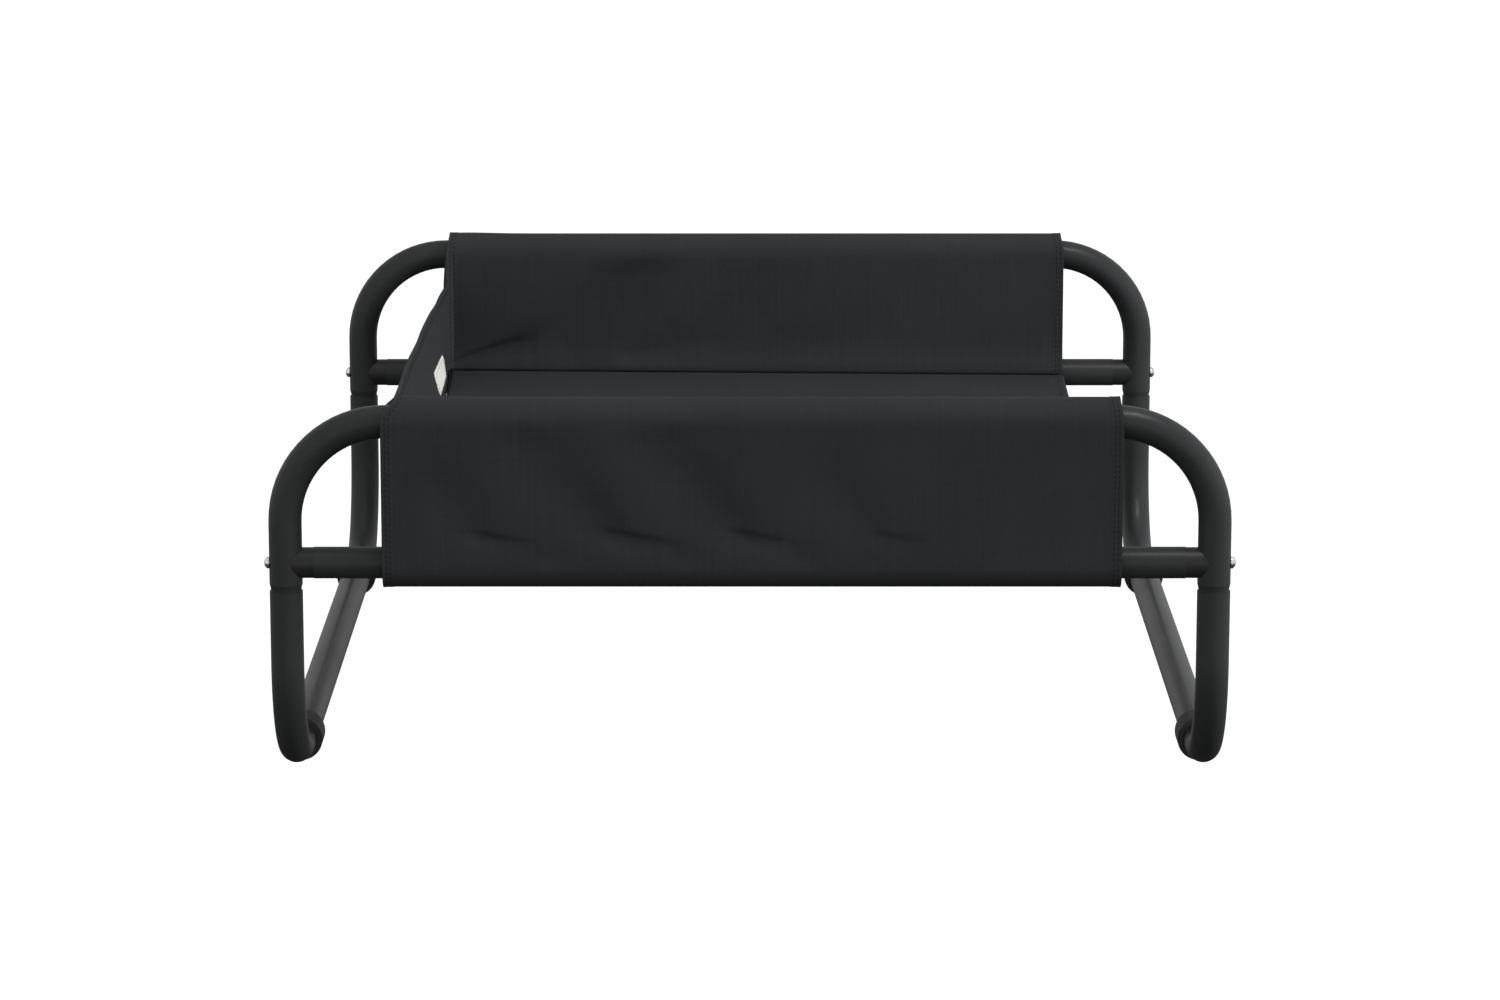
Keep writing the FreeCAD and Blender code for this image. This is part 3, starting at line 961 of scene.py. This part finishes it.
# %% Sew the back's hem
bm = bmesh.new()
count = 0
for row in stitch_rows:
    places, ways = row_on_sheet(back, 1, back_tall - row)
    count += sew(bm, places, ways)
    outer_side = [place - way * back_cloth_thickness for place, way in zip(places, ways)]
    count += sew(bm, outer_side, [-way for way in ways])
back_stitches = piece_from(bm, "back_stitches", dark_thread)
bm.free()
thicken(back, back_cloth_thickness, 1.0, lambda place: 1.0)

# %% [markdown]
# ## The sewn patch
#
# A small pale patch of webbing sits on the inner side of the back, near the left arm. It is blank: a
# rectangle with rounded corners and a row of thread round its edge. The patch is a grid that is
# laid on the back, so it follows the cloth below it.

# %% Lay the patch on the back
patch_long, patch_tall = 0.092, 0.021
patch_y, patch_z = 0.243, 0.203
patch_lift = 0.0004
patch_corner = 0.006
back_surface = BVHTree.FromObject(back, bpy.context.evaluated_depsgraph_get())


def on_back(y, z, lift):
    """The point of the back's inner side at a height and a place across, and the way it faces."""
    place, facing = back_surface.ray_cast(Vector((0, y, z)), Vector((-1, 0, 0)))[:2]
    return place + facing * lift, facing


def rounded_corner(across, up, half_long, half_tall, corner):
    """Moves a point of a rectangle so that its corners come out round."""
    beyond_y = abs(across) - half_long + corner
    beyond_z = abs(up) - half_tall + corner
    if beyond_y <= 0 or beyond_z <= 0:
        return across, up
    pull = max(beyond_y, beyond_z) / math.hypot(beyond_y, beyond_z)
    new_across = half_long - corner + beyond_y * pull
    new_up = half_tall - corner + beyond_z * pull
    return math.copysign(new_across, across), math.copysign(new_up, up)


def patch_point(row, column):
    """A point of the patch, with its rim turned down to the cloth."""
    across, up = rounded_corner(column, row, patch_long / 2, patch_tall / 2, patch_corner)
    from_edge = min(patch_long / 2 - abs(column), patch_tall / 2 - abs(row))
    return on_back(patch_y + across, patch_z + up, patch_lift + 0.0007 * smooth_step(from_edge / 0.0016))[0]


patch_rows = hem_stations(-patch_tall / 2, patch_tall / 2, 0.0012)
patch_columns = hem_stations(-patch_long / 2, patch_long / 2, 0.0022)
bm = grid_sheet(patch_rows, patch_columns, patch_point, lambda row, column: (column, row))
if sum(face.normal.x for face in bm.faces) < 0:
    bmesh.ops.reverse_faces(bm, faces=bm.faces)
patch = piece_from(bm, "blank_patch", patch_webbing)
bm.free()
thicken(patch, 0.0008, 1.0, lambda place: 1.0)

# %% Stitch round the patch
inset = 0.0022
half_long, half_tall = patch_long / 2 - inset, patch_tall / 2 - inset
bend = patch_corner - inset
corner_turns = [math.radians(angle) for angle in range(0, 91, 15)]
round_patch = []
for quarter, (way_y, way_z) in enumerate(((1, 1), (-1, 1), (-1, -1), (1, -1))):
    turns = corner_turns if quarter % 2 == 0 else corner_turns[::-1]
    for turn in turns:
        round_patch.append((way_y * (half_long - bend + bend * math.cos(turn)),
                            way_z * (half_tall - bend + bend * math.sin(turn))))
round_patch.append(round_patch[0])
path = []
for (y_a, z_a), (y_b, z_b) in zip(round_patch, round_patch[1:]):
    pieces_of_side = max(1, round(math.hypot(y_b - y_a, z_b - z_a) / 0.004))
    for step in range(pieces_of_side):
        share = step / pieces_of_side
        path.append((y_a + share * (y_b - y_a), z_a + share * (z_b - z_a)))
path.append(path[0])
laid = [on_back(patch_y + y, patch_z + z, patch_lift + 0.0008) for y, z in path]
bm = bmesh.new()
count = sew(bm, [place for place, way in laid], [way for place, way in laid], 0.0024, 0.0034, 0.0007)
patch_stitches = piece_from(bm, "patch_stitches", cream_thread)
bm.free()
print("patch stitches", count)

for piece in (back, back_stitches, patch, patch_stitches):
    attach(piece, "upper_frame")
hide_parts("back_panel")

# %% [markdown]
# ## Powder coat, plastic, rubber and plating
#
# The frame is taken as steel tube under a black powder coat. Powder melts in an oven and never flows
# quite flat, so it keeps a fine orange-peel surface that spreads a highlight along the tube. A second,
# larger noise changes the gloss a little, as handling does. The plugs are made to look like moulded
# plastic with a fine spark texture, the feet softer and duller, and the bolts like plated steel.

# %% Mix the hard finishes
def speckled_finish(name, dark, light, roughness, peel, peel_height, metallic=0.0, specular=0.5, coat=0.0):
    """A hard finish: a fine bump, a tone that wanders, and gloss that varies from place to place."""
    material, make, join = material_with_nodes(name)
    where = make.new("ShaderNodeTexCoord").outputs["Object"]
    fine = cloudy(make, join, where, peel, (1, 1, 1), 3.0)
    broad = cloudy(make, join, where, 14.0, (1, 1, 1), 4.0)
    shader = make.new("ShaderNodeBsdfPrincipled")
    tone = plain_maths(make, join, "ADD", plain_maths(make, join, "MULTIPLY", broad, 0.7),
                       plain_maths(make, join, "MULTIPLY", fine, 0.3))
    join.new(two_colours(make, join, tone, dark, light), shader.inputs["Base Color"])
    join.new(between(make, join, tone, roughness[0], roughness[1]), shader.inputs["Roughness"])
    shader.inputs["Metallic"].default_value = metallic
    shader.inputs["Specular IOR Level"].default_value = specular
    shader.inputs["Coat Weight"].default_value = coat
    shader.inputs["Coat Roughness"].default_value = 0.3
    finish_material(make, join, shader, fine, peel_height, 0.6)
    return material


powder_coat = speckled_finish("powder_coat", (0.0213, 0.0224, 0.0227), (0.0332, 0.0346, 0.0350),
                              (0.30, 0.44), 650.0, 0.00022, specular=0.13)
plug_plastic = speckled_finish("plug_plastic", (0.0150, 0.0155, 0.0160), (0.0260, 0.0265, 0.0270),
                               (0.34, 0.50), 1400.0, 0.00010, specular=0.18)
foot_rubber = speckled_finish("foot_rubber", (0.0140, 0.0143, 0.0145), (0.0240, 0.0243, 0.0246),
                              (0.55, 0.75), 900.0, 0.00020, specular=0.35)
bolt_plating = speckled_finish("bolt_plating", (0.56, 0.56, 0.57), (0.80, 0.80, 0.81),
                               (0.18, 0.34), 1800.0, 0.00003, metallic=1.0)
insert_brass = speckled_finish("insert_brass", (0.50, 0.34, 0.12), (0.78, 0.57, 0.25),
                               (0.25, 0.45), 1500.0, 0.00004, metallic=1.0)

# %% [markdown]
# Parts of one kind share one finish. They could be painted one by one, but a part's name ends with its
# kind, so the end of the name picks the finish, and a new part of a known kind is painted too.

# %% Paint the frame's parts
finishes = {
    "_hoop": powder_coat, "_seat_rail": powder_coat, "_base_tube": powder_coat, "_plug": plug_plastic,
    "_insert": insert_brass, "_bolt": bolt_plating, "_foot": foot_rubber,
}
for name, node in nodes.items():
    for ending, finish in finishes.items():
        if name.endswith(ending):
            node.data.materials.clear()
            node.data.materials.append(finish)
print("painted", sum(1 for name in nodes if name.endswith(tuple(finishes))), "parts")
